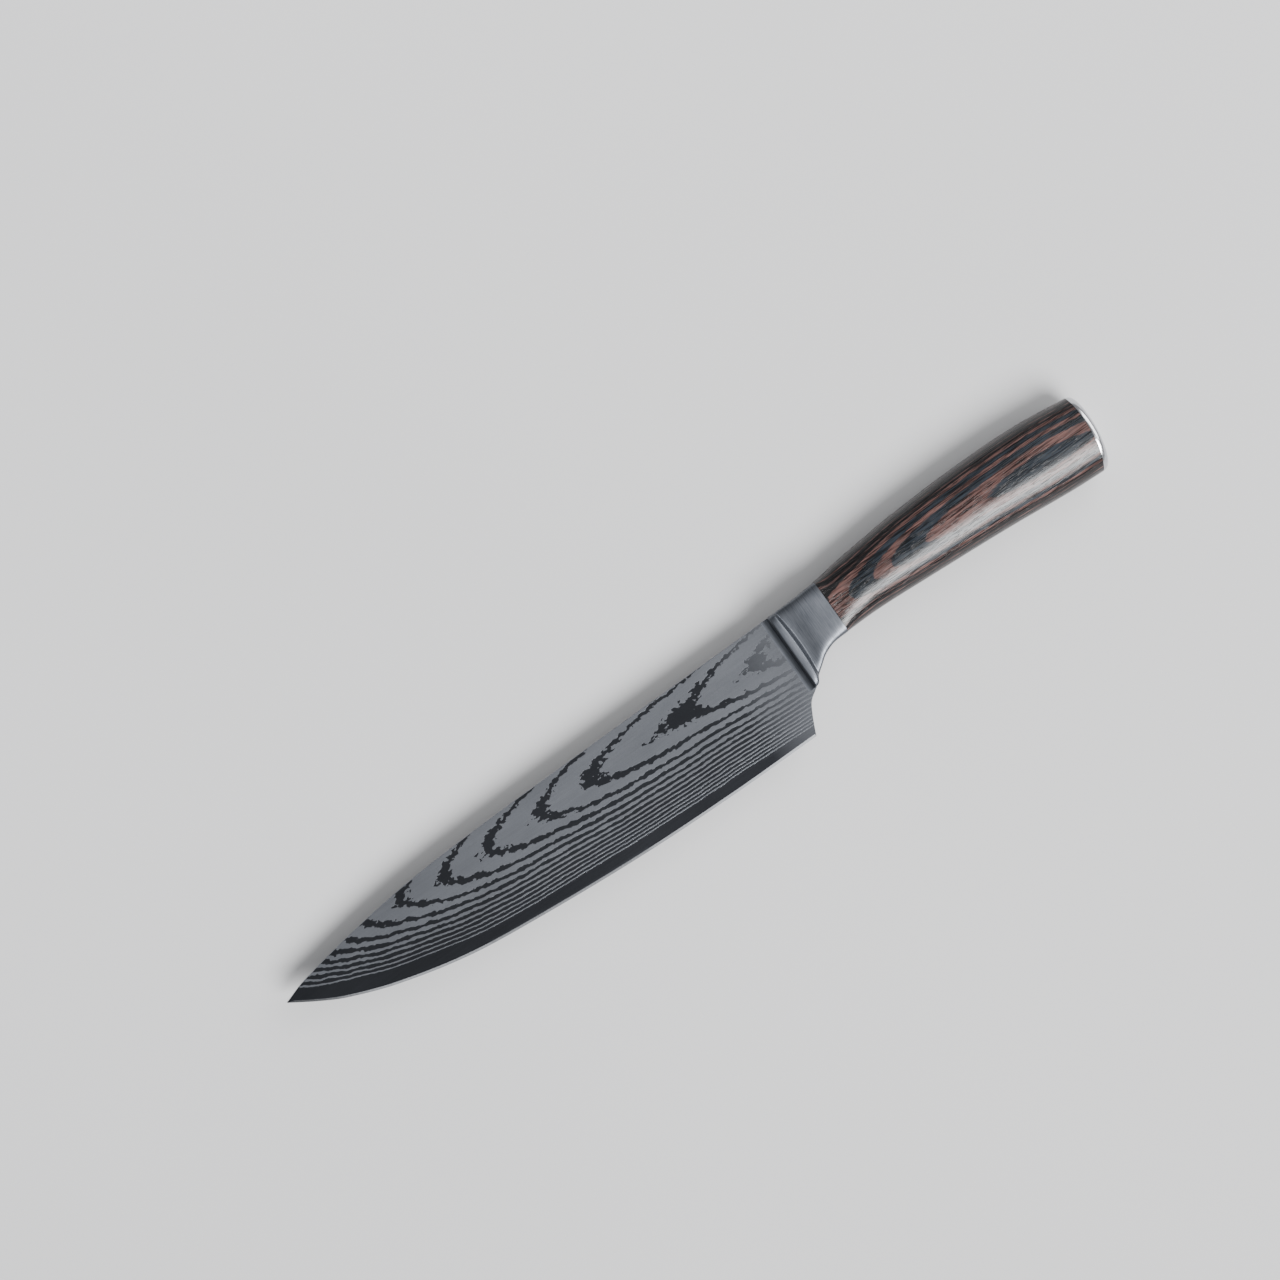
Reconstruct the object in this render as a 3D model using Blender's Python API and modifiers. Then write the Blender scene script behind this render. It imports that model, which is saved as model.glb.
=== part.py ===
"""Chef's knife with a welded bolster, a hidden tang and a two-piece laminated wood handle.

The knife lies on its side. In the knife's own frame x runs from the tip to the butt, y from the
cutting edge to the spine, and z = 0 is the blade's mid-plane. The empty "knife_frame" carries
every part and sets the origin at the bottom centre of the whole knife.
"""

import math

import bmesh
import bpy

MM = 0.001

# Fit
GAP = 0.3 * MM  # between touching pieces
HALF_GAP = GAP / 2

# Blade
SHOULDER_X = 206.8 * MM  # rear end of the visible blade
HEEL_X = 197.9 * MM
SPINE_HALF_THICKNESS = 1.1 * MM  # at the shoulder
GRIND_SLOPE_Y = 0.0203  # half-thickness gained per unit of height
GRIND_SLOPE_X = 0.0017  # half-thickness gained per unit of length, the distal taper
BEVEL_WIDTH = 0.9 * MM
EDGE_HALF_THICKNESS = 0.04 * MM
SPINE_CHAMFER = 0.2 * MM
TIP_BEVEL_SHARE = 0.35  # the bevel never takes more of the blade's height than this
LEAST_TIP_HEIGHT = 0.5 * MM
FOOT_CHAMFER = 0.1 * MM  # along the curved notch behind the heel
BLADE_STATIONS = 34
STATION_POWER = 1.5  # above 1, the stations crowd towards the tip
CHOIL_STATIONS = 8
STUB_REACH = 11.3 * MM  # how far the stub goes into the bolster
STUB_TOP, STUB_BOTTOM = 7.0 * MM, -5.5 * MM
STUB_THINNING = 0.15 * MM

# Bolster
BOLSTER_FRONT_X = SHOULDER_X + GAP
BOLSTER_REAR_X = 226.8 * MM

# Handle
HANDLE_FRONT_X = BOLSTER_REAR_X + GAP
BUTT_CREST_X = 332.3 * MM
BUTT_CREST_Y = 9.0 * MM
BUTT_ARC_RADIUS = 71.4 * MM
BUTT_CENTRE_X = BUTT_CREST_X - BUTT_ARC_RADIUS
BUTT_SIDES = 180
BUTT_REACH_Z = 20 * MM
HANDLE_BLANK_REAR_X = 335 * MM
CAP_THICKNESS = 2.3 * MM
CAP_EDGE_RADIUS = 2.0 * MM
CAP_EDGE_STEPS = 4
CAP_FACE_SCALES = [0.08, 0.3, 0.55, 0.8]  # rings that close the cap's two faces
CREST_DROP = 1.3 * MM  # the handle is thickest this far below its middle height
HANDLE_STATIONS = 18
RING_SIDES = 44
ARCH_PASSES = 6  # passes that settle a point of a curved section

# Tang keel and the channel for it
KEEL_Y = 2.0 * MM
KEEL_HALF_HEIGHT = 5.0 * MM
KEEL_HALF_THICKNESS = 1.5 * MM
KEEL_FRONT_X = SHOULDER_X + STUB_REACH + GAP
KEEL_REAR_X = 328.0 * MM
KEEL_CHAMFER = 0.25 * MM
EPOXY_THICKNESS = 0.5 * MM
EPOXY_REAR_X = 315.0 * MM
EPOXY_HOLE_RADIUS = 2.2 * MM
EPOXY_HOLES_X = [262.0 * MM, 273.0 * MM, 284.0 * MM]
CHANNEL_HALF_HEIGHT = KEEL_HALF_HEIGHT + EPOXY_THICKNESS + 2 * GAP
CHANNEL_DEPTH = KEEL_HALF_THICKNESS + EPOXY_THICKNESS + 2 * GAP

# Locating pins
PIN_RADIUS = 1.5 * MM
PIN_HALF_LENGTH = 5.5 * MM
PINS_X = {"front": 246.0 * MM, "rear": 300.0 * MM}
PIN_CHAMFER = 0.3 * MM

# End cap's tongue and its rivet
TONGUE_FRONT_X = 318.0 * MM
TONGUE_HALF_HEIGHT = 3.5 * MM
TONGUE_THICKNESS = 1.6 * MM
TONGUE_BOTTOM_Z = KEEL_HALF_THICKNESS + GAP
TONGUE_TOP_Z = TONGUE_BOTTOM_Z + TONGUE_THICKNESS
RIVET_X = 322.0 * MM
RIVET_RADIUS = 1.5 * MM
RIVET_HEAD_RADIUS = 2.4 * MM
RIVET_HEAD_HEIGHT = 0.7 * MM
RIVET_CROWN_SHARE = 0.55  # the head's flat top against its full radius
ROUND_SIDES = 24
FAR = 5 * MM  # how far a cutter runs past what it cuts


def smooth_curve(points_mm):
    """A function y(x) through points given in millimetres, with continuous slope."""
    xs = [x * MM for x, _ in points_mm]
    ys = [y * MM for _, y in points_mm]
    last = len(xs) - 1

    def slope(i):
        a, b = max(i - 1, 0), min(i + 1, last)
        return (ys[b] - ys[a]) / (xs[b] - xs[a])

    def value(x):
        i = next((k for k in range(last) if x <= xs[k + 1]), last - 1)
        run = xs[i + 1] - xs[i]
        t = (x - xs[i]) / run
        from_point = (2 * t**3 - 3 * t**2 + 1) * ys[i] + (3 * t**2 - 2 * t**3) * ys[i + 1]
        from_slope = (t**3 - 2 * t**2 + t) * slope(i) + (t**3 - t**2) * slope(i + 1)
        return from_point + from_slope * run

    return value


def broken_line(points_mm):
    """A function that joins points (x in millimetres, value) with straight runs, level past both ends."""

    def value(x):
        if x <= points_mm[0][0] * MM:
            return points_mm[0][1]
        for (x0, y0), (x1, y1) in zip(points_mm, points_mm[1:]):
            if x <= x1 * MM:
                return y0 + (y1 - y0) * (x / MM - x0) / (x1 - x0)
        return points_mm[-1][1]

    return value


# Outlines seen from the side of the knife: (x, y) in millimetres
blade_spine = smooth_curve(
    [(0, 0.1), (8.5, 2.7), (33.8, 7.0), (59, 9.7), (88, 10.9), (135, 11.4), (207, 11.85)]
)
blade_edge = smooth_curve(
    [(0, -0.25), (8.5, -5.6), (17, -10.2), (34, -16.6), (59, -22.7), (85, -25.9), (125, -29.0)]
    + [(165, -30.3), (198, -30.3)]
)
choil = smooth_curve([(197.9, -30.3), (199.3, -27.2), (200.9, -23.9), (203.3, -19.9), (206.8, -17.3)])
bolster_top = smooth_curve([(207, 11.85), (217, 12.1), (226.8, 12.65)])
bolster_bottom = smooth_curve(
    [(207, -16.6), (208.8, -16.0), (213.6, -12.1), (217, -9.3), (221, -7.8), (226.8, -7.5)]
)
handle_top = smooth_curve(
    [(226.8, 12.8), (231, 13.3), (237, 14.15), (248, 15.2), (262, 16.3), (288, 17.1)]
    + [(313, 16.5), (335, 13.9)]
)
handle_bottom = smooth_curve(
    [(226.8, -7.5), (240, -7.4), (260, -8.5), (292, -10.6), (318, -12.9), (335, -13.7)]
)

# Half-thicknesses from the mid-plane: (x, z) in millimetres. The bolster starts with a flat-topped ridge.
bolster_half_thickness = smooth_curve(
    [(207.1, 5.4), (207.4, 6.5), (208.0, 6.85), (209.6, 6.95), (210.3, 6.7), (211.1, 5.5), (211.7, 4.92)]
    + [(212.0, 4.9), (213.5, 5.15), (217, 5.95), (220, 6.4), (223.5, 6.75), (226.8, 6.95)]
)
handle_half_thickness = smooth_curve(
    [(226.8, 6.95), (242, 8.3), (262, 9.5), (288, 10.2), (312, 10.5), (335, 10.2)]
)

# How square a section is, as a superellipse's exponent: 2 is an ellipse
bolster_exponent = broken_line([(207, 9.0), (213, 9.0), (222, 8.5), (226.8, 6.5)])
handle_exponent = broken_line([(227, 4.0), (229.5, 2.9), (232, 2.45), (240, 2.0)])

BOLSTER_STATIONS = [
    x * MM
    for x in (207.1, 207.25, 207.4, 207.7, 208.0, 208.8, 209.6, 210.0, 210.3, 210.7, 211.1)
    + (211.4, 211.7, 212.0, 212.7, 213.5, 215, 217, 220, 223.5, 226.8)
]

# The ridge's rear flank is bowed towards the butt at mid height
RIDGE_BOW = 1.2 * MM
RIDGE_CREST_X = 208.9 * MM
RIDGE_FOOT_X = 211.6 * MM
BOW_END_X = 219.0 * MM

knife_parts = bpy.data.collections.new("chef_knife")
cutters = bpy.data.collections.new("cutters")


def clear_scene():
    for old in list(bpy.data.objects):
        bpy.data.objects.remove(old)
    for collection in (knife_parts, cutters):
        bpy.context.scene.collection.children.link(collection)
    cutters.hide_render = True


def add_frame():
    """The empty that puts the tip-to-butt frame over the knife's own bottom centre."""
    handle_stations = [x * MM for x in range(227, 335)]
    low_y = min(blade_edge(x * MM) for x in range(198))
    high_y = max(handle_top(x) for x in handle_stations)
    resting_height = max(handle_half_thickness(x) for x in handle_stations)
    length = BUTT_CREST_X + CAP_THICKNESS
    empty = bpy.data.objects.new("knife_frame", None)
    empty.location = (-length / 2, -(low_y + high_y) / 2, resting_height)
    knife_parts.objects.link(empty)
    return empty


def add_material(name, colour, roughness, metallic):
    material = bpy.data.materials.new(name)
    material.use_nodes = True
    shader = material.node_tree.nodes["Principled BSDF"]
    shader.inputs["Base Color"].default_value = (*colour, 1)
    shader.inputs["Roughness"].default_value = roughness
    shader.inputs["Metallic"].default_value = metallic
    return material


def add_object(name, bm, material=None, location=(0, 0, 0), crease_degrees=35):
    """Turns a bmesh into an object: a part with a material, or a hidden cutter without one."""
    bmesh.ops.recalc_face_normals(bm, faces=bm.faces)
    mesh = bpy.data.meshes.new(name)
    bm.to_mesh(mesh)
    bm.free()
    obj = bpy.data.objects.new(name, mesh)
    obj.location = location
    obj.parent = frame
    if material:
        mesh.materials.append(material)
        mesh.shade_smooth()
        mesh.set_sharp_from_angle(angle=math.radians(crease_degrees))
        knife_parts.objects.link(obj)
    else:
        obj.hide_render = True
        obj.display_type = "WIRE"
        cutters.objects.link(obj)
    return obj


def loft(rings):
    """A closed skin over rings that all have the same number of points."""
    bm = bmesh.new()
    rows = [[bm.verts.new(point) for point in ring] for ring in rings]
    for row, following in zip(rows, rows[1:]):
        for i in range(len(row)):
            j = (i + 1) % len(row)
            bm.faces.new((row[i], row[j], following[j], following[i]))
    bm.faces.new(rows[0])
    bm.faces.new(rows[-1])
    return bm


def box(low, high):
    bm = bmesh.new()
    bmesh.ops.create_cube(bm, size=1)
    size = [b - a for a, b in zip(low, high)]
    centre = [(a + b) / 2 for a, b in zip(low, high)]
    bmesh.ops.scale(bm, vec=size, verts=bm.verts)
    bmesh.ops.translate(bm, vec=centre, verts=bm.verts)
    return bm


def cylinder(radius, low_z, high_z, centre_x=0.0, centre_y=0.0, sides=ROUND_SIDES):
    bm = bmesh.new()
    height = high_z - low_z
    bmesh.ops.create_cone(
        bm, cap_ends=True, segments=sides, radius1=radius, radius2=radius, depth=height
    )
    bmesh.ops.translate(bm, vec=(centre_x, centre_y, (low_z + high_z) / 2), verts=bm.verts)
    return bm


def boolean(obj, operation, other):
    modifier = obj.modifiers.new(f"{operation.lower()}_{other.name}", "BOOLEAN")
    modifier.operation = operation
    modifier.object = other


def cut(obj, *others):
    for other in others:
        boolean(obj, "DIFFERENCE", other)


def add_bevel(obj, width, segments):
    modifier = obj.modifiers.new("edges", "BEVEL")
    modifier.width = width
    modifier.segments = segments
    modifier.limit_method = "ANGLE"
    modifier.angle_limit = math.radians(50)


def grind_half_thickness(x, y):
    """Half the blade's thickness: each side is one flat plane, ground thinner to the edge and tip."""
    below_spine = blade_spine(SHOULDER_X) - y
    return SPINE_HALF_THICKNESS - GRIND_SLOPE_Y * below_spine - GRIND_SLOPE_X * (SHOULDER_X - x)


def blade_ring(x, low, high, bevel, low_half_thickness, thinning=0.0):
    """Eight points round the blade: chamfered spine, flat sides, then a bevel or a square foot."""
    spine_side = grind_half_thickness(x, high - SPINE_CHAMFER) - thinning
    bevel_side = grind_half_thickness(x, low + bevel) - thinning
    right = [
        (x, high, spine_side - SPINE_CHAMFER),
        (x, high - SPINE_CHAMFER, spine_side),
        (x, low + bevel, bevel_side),
        (x, low, low_half_thickness),
    ]
    left = [(px, py, -pz) for px, py, pz in reversed(right)]
    return right + left


def build_blade(material):
    rings = []
    for k in range(BLADE_STATIONS + 1):
        x = HEEL_X * (k / BLADE_STATIONS) ** STATION_POWER
        low = blade_edge(x)
        high = max(blade_spine(x), low + LEAST_TIP_HEIGHT)
        bevel = min(BEVEL_WIDTH, TIP_BEVEL_SHARE * (high - low))
        rings.append(blade_ring(x, low, high, bevel, EDGE_HALF_THICKNESS))
    choil_front_x = HEEL_X + FOOT_CHAMFER
    for k in range(CHOIL_STATIONS + 1):
        x = choil_front_x + (SHOULDER_X - choil_front_x) * k / CHOIL_STATIONS
        low = choil(x)
        foot = grind_half_thickness(x, low) - FOOT_CHAMFER
        rings.append(blade_ring(x, low, blade_spine(x), FOOT_CHAMFER, foot))
    for x in (SHOULDER_X, SHOULDER_X + STUB_REACH):
        foot = grind_half_thickness(SHOULDER_X, STUB_BOTTOM) - 2 * STUB_THINNING
        rings.append(blade_ring(x, STUB_BOTTOM, STUB_TOP, SPINE_CHAMFER, foot, STUB_THINNING))
    return add_object("blade", loft(rings), material, crease_degrees=3)


def superellipse(angle, exponent):
    """A point (along y, along z) of the unit superellipse, where a ray at that angle meets it."""
    across, up = math.cos(angle), math.sin(angle)
    reach = (abs(across) ** exponent + abs(up) ** exponent) ** (-1 / exponent)
    return across * reach, up * reach


def full_turn():
    return [2 * math.pi * i / RING_SIDES for i in range(RING_SIDES)]


def bolster_rings():
    for middle_x in BOLSTER_STATIONS:
        rising = min(max((middle_x - RIDGE_CREST_X) / (RIDGE_FOOT_X - RIDGE_CREST_X), 0), 1)
        falling = min(max((BOW_END_X - middle_x) / (BOW_END_X - RIDGE_FOOT_X), 0), 1)
        bow = RIDGE_BOW * min(rising, falling)
        top, bottom = bolster_top(middle_x), bolster_bottom(middle_x)
        middle_y, half_height = (top + bottom) / 2, (top - bottom) / 2
        ring = []
        for angle in full_turn():
            along_y, along_z = superellipse(angle, bolster_exponent(middle_x))
            x = middle_x - bow * along_y**2
            z = along_z * bolster_half_thickness(middle_x)
            ring.append((x, middle_y + half_height * along_y, z))
        yield ring


def build_bolster(material):
    bolster = add_object("bolster", loft(list(bolster_rings())), material)
    stub_slot = add_object(
        "stub_slot",
        box(
            (BOLSTER_FRONT_X - FAR, STUB_BOTTOM - GAP, -SPINE_HALF_THICKNESS - GAP),
            (KEEL_FRONT_X + GAP, STUB_TOP + GAP, SPINE_HALF_THICKNESS + GAP),
        ),
    )
    keel_socket = add_object(
        "keel_socket",
        box(
            (KEEL_FRONT_X - HALF_GAP, KEEL_Y - KEEL_HALF_HEIGHT - GAP, -KEEL_HALF_THICKNESS - GAP),
            (BOLSTER_REAR_X + FAR, KEEL_Y + KEEL_HALF_HEIGHT + GAP, KEEL_HALF_THICKNESS + GAP),
        ),
    )
    cut(bolster, stub_slot, keel_socket)
    return bolster


def handle_point(x_of, angle, shrink=0.0, scale=1.0):
    """A point of the handle's skin, where x_of gives x for a height and so sets a curved section."""
    x = x_of(0)
    for _ in range(ARCH_PASSES):
        along_y, along_z = superellipse(angle, handle_exponent(x))
        top, bottom = handle_top(x), handle_bottom(x)
        crest_y = (top + bottom) / 2 - CREST_DROP
        reach = top - crest_y if along_y > 0 else crest_y - bottom
        y = crest_y + scale * along_y * (reach - shrink)
        x = x_of(y)
    return x, y, scale * along_z * (handle_half_thickness(x) - shrink)


def butt_arc(offset):
    """x on the arched butt for a height, offset outwards from the wood's nominal rear face."""

    def x_of(y):
        radius = BUTT_ARC_RADIUS + offset
        return BUTT_CENTRE_X + math.sqrt(radius**2 - (y - BUTT_CREST_Y) ** 2)

    return x_of


def scale_body(side):
    """One half of the handle, flat on the mid-plane. side is 1 for the left half and -1 for the right."""
    half_sides = RING_SIDES // 2
    angles = [math.pi * i / half_sides for i in range(half_sides + 1)]
    rings = []
    for k in range(HANDLE_STATIONS + 1):
        station = HANDLE_FRONT_X + (HANDLE_BLANK_REAR_X - HANDLE_FRONT_X) * k / HANDLE_STATIONS
        ring = [handle_point(lambda y: station, angle) for angle in angles]
        rings.append([(x, y, side * max(z, HALF_GAP)) for x, y, z in ring])
    return loft(rings)


def build_scales(material, pin_holes):
    radius = BUTT_ARC_RADIUS - HALF_GAP
    butt_round = add_object(
        "butt_round",
        cylinder(radius, -BUTT_REACH_Z, BUTT_REACH_Z, BUTT_CENTRE_X, BUTT_CREST_Y, BUTT_SIDES),
    )
    scales = {}
    for name, side in (("left", 1), ("right", -1)):
        scale = add_object(f"handle_scale_{name}", scale_body(side), material)
        channel = add_object(
            f"channel_{name}",
            box(
                (HANDLE_FRONT_X - FAR, KEEL_Y - CHANNEL_HALF_HEIGHT, -CHANNEL_DEPTH),
                (BUTT_CREST_X + FAR, KEEL_Y + CHANNEL_HALF_HEIGHT, CHANNEL_DEPTH),
            ),
        )
        boolean(scale, "INTERSECT", butt_round)
        cut(scale, channel, *pin_holes)
        scales[name] = scale
    tongue_pocket = add_object(
        "tongue_pocket",
        box(
            (TONGUE_FRONT_X - GAP, KEEL_Y - TONGUE_HALF_HEIGHT - GAP, 0),
            (BUTT_CREST_X + FAR, KEEL_Y + TONGUE_HALF_HEIGHT + GAP, TONGUE_TOP_Z + GAP),
        ),
    )
    pocket_radius = RIVET_HEAD_RADIUS + GAP
    left_depth = TONGUE_TOP_Z + RIVET_HEAD_HEIGHT + 2 * GAP
    right_depth = KEEL_HALF_THICKNESS + RIVET_HEAD_HEIGHT + 2 * GAP
    left_head = add_object(
        "rivet_pocket_left", cylinder(pocket_radius, 0, left_depth, RIVET_X, KEEL_Y)
    )
    right_head = add_object(
        "rivet_pocket_right", cylinder(pocket_radius, -right_depth, 0, RIVET_X, KEEL_Y)
    )
    cut(scales["left"], tongue_pocket, left_head)
    cut(scales["right"], right_head)


def build_keel(material, pin_holes, rivet_hole):
    """The flat bar that carries the tang through the handle."""
    keel = add_object(
        "tang_keel",
        box(
            (KEEL_FRONT_X, KEEL_Y - KEEL_HALF_HEIGHT, -KEEL_HALF_THICKNESS),
            (KEEL_REAR_X, KEEL_Y + KEEL_HALF_HEIGHT, KEEL_HALF_THICKNESS),
        ),
        material,
    )
    add_bevel(keel, KEEL_CHAMFER, 1)
    keying_holes = [
        add_object(f"keying_hole_{i + 1}", cylinder(EPOXY_HOLE_RADIUS, -FAR, FAR, x, KEEL_Y))
        for i, x in enumerate(EPOXY_HOLES_X)
    ]
    cut(keel, *keying_holes, *pin_holes, rivet_hole)


def build_epoxy(material, pin_holes):
    """The cured bedding that fills the channel round the keel, as a sleeve open at both ends."""

    def sleeve_box(front, rear, clearance):
        half_height = KEEL_HALF_HEIGHT + clearance
        half_thickness = KEEL_HALF_THICKNESS + clearance
        return box(
            (front, KEEL_Y - half_height, -half_thickness),
            (rear, KEEL_Y + half_height, half_thickness),
        )

    sleeve = sleeve_box(HANDLE_FRONT_X + GAP, EPOXY_REAR_X, GAP + EPOXY_THICKNESS)
    epoxy = add_object("epoxy_bedding", sleeve, material)
    bore = add_object("epoxy_bore", sleeve_box(HANDLE_FRONT_X - FAR, EPOXY_REAR_X + FAR, GAP))
    cut(epoxy, bore, *pin_holes)


def build_pins(material):
    for name, x in PINS_X.items():
        pin = add_object(
            f"locating_pin_{name}",
            cylinder(PIN_RADIUS, -PIN_HALF_LENGTH, PIN_HALF_LENGTH),
            material,
            location=(x, KEEL_Y, 0),
        )
        add_bevel(pin, PIN_CHAMFER, 1)


def build_end_cap(material, rivet_hole):
    """The polished cap that closes the butt, with a tongue that lies along the keel."""
    inner, outer = butt_arc(HALF_GAP), butt_arc(CAP_THICKNESS)

    def ring(x_of, shrink=0.0, scale=1.0):
        return [handle_point(x_of, angle, shrink, scale) for angle in full_turn()]

    rings = [ring(inner, scale=scale) for scale in CAP_FACE_SCALES]
    rings.append(ring(inner))
    for k in range(CAP_EDGE_STEPS + 1):
        turn = math.pi / 2 * k / CAP_EDGE_STEPS
        x_of = butt_arc(CAP_THICKNESS - CAP_EDGE_RADIUS * (1 - math.sin(turn)))
        rings.append(ring(x_of, shrink=CAP_EDGE_RADIUS * (1 - math.cos(turn))))
    rings += [ring(outer, CAP_EDGE_RADIUS, scale) for scale in reversed(CAP_FACE_SCALES)]
    cap = add_object("end_cap", loft(rings), material)
    tongue = add_object(
        "cap_tongue",
        box(
            (TONGUE_FRONT_X, KEEL_Y - TONGUE_HALF_HEIGHT, TONGUE_BOTTOM_Z),
            (BUTT_CREST_X + CAP_THICKNESS / 2, KEEL_Y + TONGUE_HALF_HEIGHT, TONGUE_TOP_Z),
        ),
    )
    boolean(cap, "UNION", tongue)
    cut(cap, rivet_hole)


def build_rivet(material):
    """A turned rivet through the keel and the cap's tongue: (radius, z) down its outer side."""
    top = TONGUE_TOP_Z + GAP
    bottom = -KEEL_HALF_THICKNESS - GAP
    crown = RIVET_CROWN_SHARE * RIVET_HEAD_RADIUS
    profile = [
        (0, top + RIVET_HEAD_HEIGHT),
        (crown, top + RIVET_HEAD_HEIGHT),
        (RIVET_HEAD_RADIUS, top + RIVET_HEAD_HEIGHT / 3),
        (RIVET_HEAD_RADIUS, top),
        (RIVET_RADIUS, top),
        (RIVET_RADIUS, bottom),
        (RIVET_HEAD_RADIUS, bottom),
        (RIVET_HEAD_RADIUS, bottom - RIVET_HEAD_HEIGHT / 3),
        (crown, bottom - RIVET_HEAD_HEIGHT),
        (0, bottom - RIVET_HEAD_HEIGHT),
    ]
    mesh = bpy.data.meshes.new("cap_rivet")
    points = [(radius, 0, z) for radius, z in profile]
    mesh.from_pydata(points, [(i, i + 1) for i in range(len(points) - 1)], [])
    mesh.materials.append(material)
    rivet = bpy.data.objects.new("cap_rivet", mesh)
    rivet.parent = frame
    rivet.location = (RIVET_X, KEEL_Y, 0)
    knife_parts.objects.link(rivet)
    turning = rivet.modifiers.new("turning", "SCREW")
    turning.steps = turning.render_steps = ROUND_SIDES
    turning.use_merge_vertices = True
    turning.merge_threshold = 0.00001


clear_scene()
frame = add_frame()

blade_steel = add_material("blade_steel", (0.22, 0.23, 0.25), 0.38, 1.0)
bolster_steel = add_material("bolster_steel", (0.42, 0.43, 0.46), 0.34, 1.0)
cap_steel = add_material("cap_steel", (0.75, 0.75, 0.77), 0.08, 1.0)
keel_steel = add_material("keel_steel", (0.35, 0.35, 0.36), 0.5, 1.0)
pin_steel = add_material("pin_steel", (0.5, 0.5, 0.5), 0.35, 1.0)
laminated_wood = add_material("laminated_wood", (0.09, 0.06, 0.055), 0.3, 0.0)
cured_epoxy = add_material("cured_epoxy", (0.25, 0.2, 0.12), 0.3, 0.0)

pin_bores = [
    add_object(
        f"pin_hole_{name}",
        cylinder(PIN_RADIUS + GAP, -PIN_HALF_LENGTH - GAP, PIN_HALF_LENGTH + GAP, x, KEEL_Y),
    )
    for name, x in PINS_X.items()
]
rivet_bore = add_object("rivet_hole", cylinder(RIVET_RADIUS + GAP, -FAR, FAR, RIVET_X, KEEL_Y))

build_blade(blade_steel)
build_bolster(bolster_steel)
build_keel(keel_steel, pin_bores, rivet_bore)
build_epoxy(cured_epoxy, pin_bores)
build_scales(laminated_wood, pin_bores)
build_pins(pin_steel)
build_end_cap(cap_steel, rivet_bore)
build_rivet(pin_steel)
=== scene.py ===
"""The looks of a chef's knife: an etched damascus blade, a brushed bolster and a laminated wood handle.

Lengths are metres. The knife's own frame runs x from tip to butt, y from edge to spine and z = 0 on
the blade's mid-plane; place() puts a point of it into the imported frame.
"""

import math

import bmesh
import bpy
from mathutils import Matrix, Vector


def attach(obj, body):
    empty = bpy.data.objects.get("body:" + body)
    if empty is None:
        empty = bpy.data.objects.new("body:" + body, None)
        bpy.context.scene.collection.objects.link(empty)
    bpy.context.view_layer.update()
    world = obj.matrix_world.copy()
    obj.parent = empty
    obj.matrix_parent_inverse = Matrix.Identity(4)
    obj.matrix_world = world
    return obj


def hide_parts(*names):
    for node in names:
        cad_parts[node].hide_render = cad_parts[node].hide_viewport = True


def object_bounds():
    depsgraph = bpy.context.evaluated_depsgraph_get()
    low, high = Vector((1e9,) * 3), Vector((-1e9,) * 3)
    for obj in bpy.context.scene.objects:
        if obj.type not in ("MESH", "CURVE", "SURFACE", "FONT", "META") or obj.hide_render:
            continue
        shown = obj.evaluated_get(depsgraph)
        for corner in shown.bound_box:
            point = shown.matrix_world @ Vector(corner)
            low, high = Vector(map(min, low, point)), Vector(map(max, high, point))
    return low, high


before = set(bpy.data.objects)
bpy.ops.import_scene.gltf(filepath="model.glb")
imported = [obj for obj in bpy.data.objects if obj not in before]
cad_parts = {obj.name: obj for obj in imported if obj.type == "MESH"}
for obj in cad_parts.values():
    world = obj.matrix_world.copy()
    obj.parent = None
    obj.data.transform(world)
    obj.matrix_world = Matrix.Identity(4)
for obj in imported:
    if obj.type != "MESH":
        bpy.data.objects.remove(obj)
cad_low, cad_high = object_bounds()

MM = 0.001

# The knife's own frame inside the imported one
LOWEST_EDGE_Y = -30.379 * MM
KNIFE_ORIGIN = Vector((cad_low.x, cad_low.y - LOWEST_EDGE_Y, (cad_low.z + cad_high.z) / 2))

# Camera and stage
CAMERA_AIM = Vector((0.0008, 0.0374, KNIFE_ORIGIN.z))
CAMERA_TURN = math.radians(-35.4)
VIEW_WIDTH = 0.4326
LENS = 85
SENSOR = 36
FLOOR_REACH = 30

# Blade
SHOULDER_X = 206.8 * MM
HEEL_X = 197.9 * MM
BLADE_HIDDEN_X = 208.4 * MM  # the blade runs on inside the bolster
SPINE_HALF_THICKNESS = 1.1 * MM
GRIND_SLOPE_Y = 0.0203
GRIND_SLOPE_X = 0.0017
BEVEL_WIDTH = 0.9 * MM
EDGE_HALF_THICKNESS = 0.04 * MM
SPINE_ROUND = 0.2 * MM
TIP_BEVEL_SHARE = 0.35  # the bevel takes no more than this share of the height near the tip
BEVEL_STEEL_SHARE = 0.6  # a face is bevel if its middle lies in this share of the bevel's height
LEAST_TIP_HEIGHT = 2.5 * SPINE_ROUND
CHOIL_EDGE = 0.1 * MM  # the chamfer along the choil
STUB_LIFT = 0.3 * MM  # the hidden end's lower edge, above the bolster's underside
STUB_HALF_THICKNESS = 0.5 * MM  # along that edge
BLADE_STATIONS = 230
BLADE_CROWDING = 1.25  # a power above 1 crowds the stations towards the tip
CHOIL_STATIONS = 16
BLADE_FACE_ROWS = 44
SPINE_ROUND_STEPS = 4

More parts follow.
